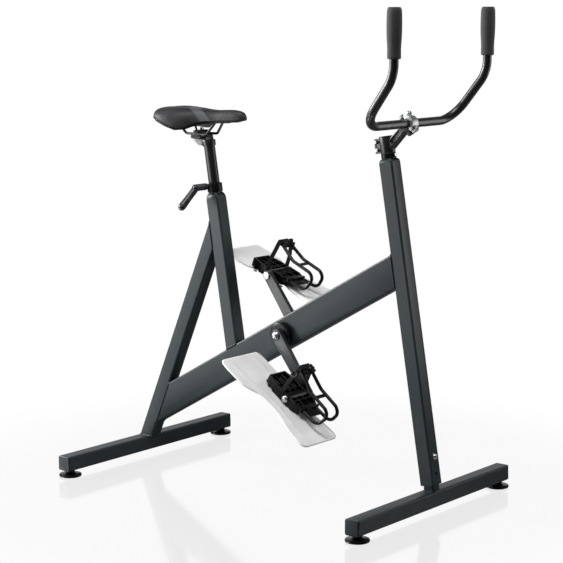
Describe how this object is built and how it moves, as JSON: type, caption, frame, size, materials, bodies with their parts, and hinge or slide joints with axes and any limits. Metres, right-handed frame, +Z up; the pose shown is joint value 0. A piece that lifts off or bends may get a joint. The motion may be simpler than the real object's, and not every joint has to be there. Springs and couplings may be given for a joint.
{
  "type": "underwater exercise bike",
  "caption": "Pedalling frame on four levelling feet that stands in a pool, with paddled pedals, height-adjustable saddle and upright handlebar.",
  "frame": {"origin": "on the floor, under the middle of the whole bike, at the height of the undersides of the feet", "axes": "+X forward to the handlebar, +Y to the rider's left, +Z up"},
  "size_m": [1.0206, 0.681, 1.2493],
  "materials": {
    "powder_coat": "fine textured powder coat over square steel or aluminium tube",
    "black_plastic": "moulded black nylon, fine grain",
    "gloss_black": "gloss black anodised or painted tube",
    "crank_grey": "satin grey forged aluminium",
    "chrome": "polished",
    "steel": "drawn stainless steel",
    "paddle_milk": "milky translucent polypropylene sheet",
    "grip_rubber": "soft dark foam rubber",
    "saddle_cover": "charcoal synthetic leather over foam, mid-grey band",
    "webbing": "woven nylon strap"
  },
  "bodies": {
    "frame": {"rear_base_bar": "powder_coat", "front_base_bar": "powder_coat", "rear_leg": "powder_coat", "main_beam": "powder_coat", "seat_tube": "powder_coat", "front_post": "powder_coat", "seat_tube_sleeve": "powder_coat", "seat_clamp_collar": "black_plastic", "post_top_sleeve": "powder_coat", "post_collar_bolt": "chrome", "post_lock_bolt": "chrome", "end_cap_rear_right": "black_plastic", "end_cap_rear_left": "black_plastic", "end_cap_front_right": "black_plastic", "end_cap_front_left": "black_plastic", "crank_cup_right": "black_plastic", "crank_cup_left": "black_plastic", "crank_bearing_right": "steel", "crank_bearing_left": "steel"},
    "foot_rear_right": {"foot_rear_right": "black_plastic"},
    "foot_rear_left": {"foot_rear_left": "black_plastic"},
    "foot_front_right": {"foot_front_right": "black_plastic"},
    "foot_front_left": {"foot_front_left": "black_plastic"},
    "crankset": {"crank_axle": "steel", "crank_arm_right": "crank_grey", "crank_nut_right": "chrome", "pedal_spindle_right": "chrome", "crank_arm_left": "crank_grey", "crank_nut_left": "chrome", "pedal_spindle_left": "chrome"},
    "pedal_right": {"pedal_body_right": "black_plastic", "pedal_cap_right": "chrome", "toe_clip_right": "black_plastic", "toe_strap_right": "webbing", "strap_buckle_right": "steel", "water_paddle_right": "paddle_milk"},
    "pedal_left": {"pedal_body_left": "black_plastic", "pedal_cap_left": "chrome", "toe_clip_left": "black_plastic", "toe_strap_left": "webbing", "strap_buckle_left": "steel", "water_paddle_left": "paddle_milk"},
    "seat_post": {"seat_post": "gloss_black", "seat_post_head": "crank_grey"},
    "saddle_cradle": {"saddle_cradle_lower": "black_plastic", "saddle_cradle_upper": "black_plastic", "saddle_clamp_bolt": "steel"},
    "saddle": {"saddle_cushion": "saddle_cover", "saddle_shell": "black_plastic", "saddle_rail_right": "gloss_black", "saddle_rail_left": "gloss_black"},
    "seat_lever": {"seat_lever": "black_plastic"},
    "stem": {"steering_column": "gloss_black", "stem": "gloss_black", "stem_faceplate": "chrome", "stem_pinch_bolt_upper": "chrome", "stem_pinch_bolt_lower": "chrome"},
    "handlebar": {"handlebar": "gloss_black", "grip_right": "grip_rubber", "grip_left": "grip_rubber"}
  },
  "joints": [
    {"name": "foot_rear_right_height", "type": "slide", "parent": "frame", "child": "foot_rear_right", "axis": [0, 0, -1], "range_m": [0, 0.012]},
    {"name": "foot_rear_left_height", "type": "slide", "parent": "frame", "child": "foot_rear_left", "axis": [0, 0, -1], "range_m": [0, 0.012]},
    {"name": "foot_front_right_height", "type": "slide", "parent": "frame", "child": "foot_front_right", "axis": [0, 0, -1], "range_m": [0, 0.012]},
    {"name": "foot_front_left_height", "type": "slide", "parent": "frame", "child": "foot_front_left", "axis": [0, 0, -1], "range_m": [0, 0.012]},
    {"name": "crank_spin", "type": "hinge", "parent": "frame", "child": "crankset", "pos_m": [0.01957, 0, 0.40388], "axis": [0, 1, 0], "continuous": true},
    {"name": "pedal_right_spin", "type": "hinge", "parent": "crankset", "child": "pedal_right", "pos_m": [0.12338, -0.101, 0.26611], "axis": [0, 1, 0], "continuous": true},
    {"name": "pedal_left_spin", "type": "hinge", "parent": "crankset", "child": "pedal_left", "pos_m": [-0.08424, 0.101, 0.54164], "axis": [0, 1, 0], "continuous": true},
    {"name": "seat_height", "type": "slide", "parent": "frame", "child": "seat_post", "axis": [-0.165, 0, 0.9863], "range_m": [-0.08, 0.08]},
    {"name": "saddle_tilt", "type": "hinge", "parent": "seat_post", "child": "saddle_cradle", "pos_m": [-0.27444, 0, 0.969], "axis": [0, 1, 0], "range_deg": [-4, 8]},
    {"name": "saddle_reach", "type": "slide", "parent": "saddle_cradle", "child": "saddle", "axis": [1, 0, 0], "range_m": [-0.012, 0.012]},
    {"name": "seat_lever_turn", "type": "hinge", "parent": "frame", "child": "seat_lever", "pos_m": [-0.23023, 0, 0.77581], "axis": [-0.4931, -0.866, -0.0825], "range_deg": [0, 180]},
    {"name": "stem_height", "type": "slide", "parent": "frame", "child": "stem", "axis": [-0.1676, 0, 0.9859], "range_m": [0, 0.05]},
    {"name": "handlebar_tilt", "type": "hinge", "parent": "stem", "child": "handlebar", "pos_m": [0.39718, 0, 0.96726], "axis": [0, 1, 0], "range_deg": [-20, 25]}
  ]
}
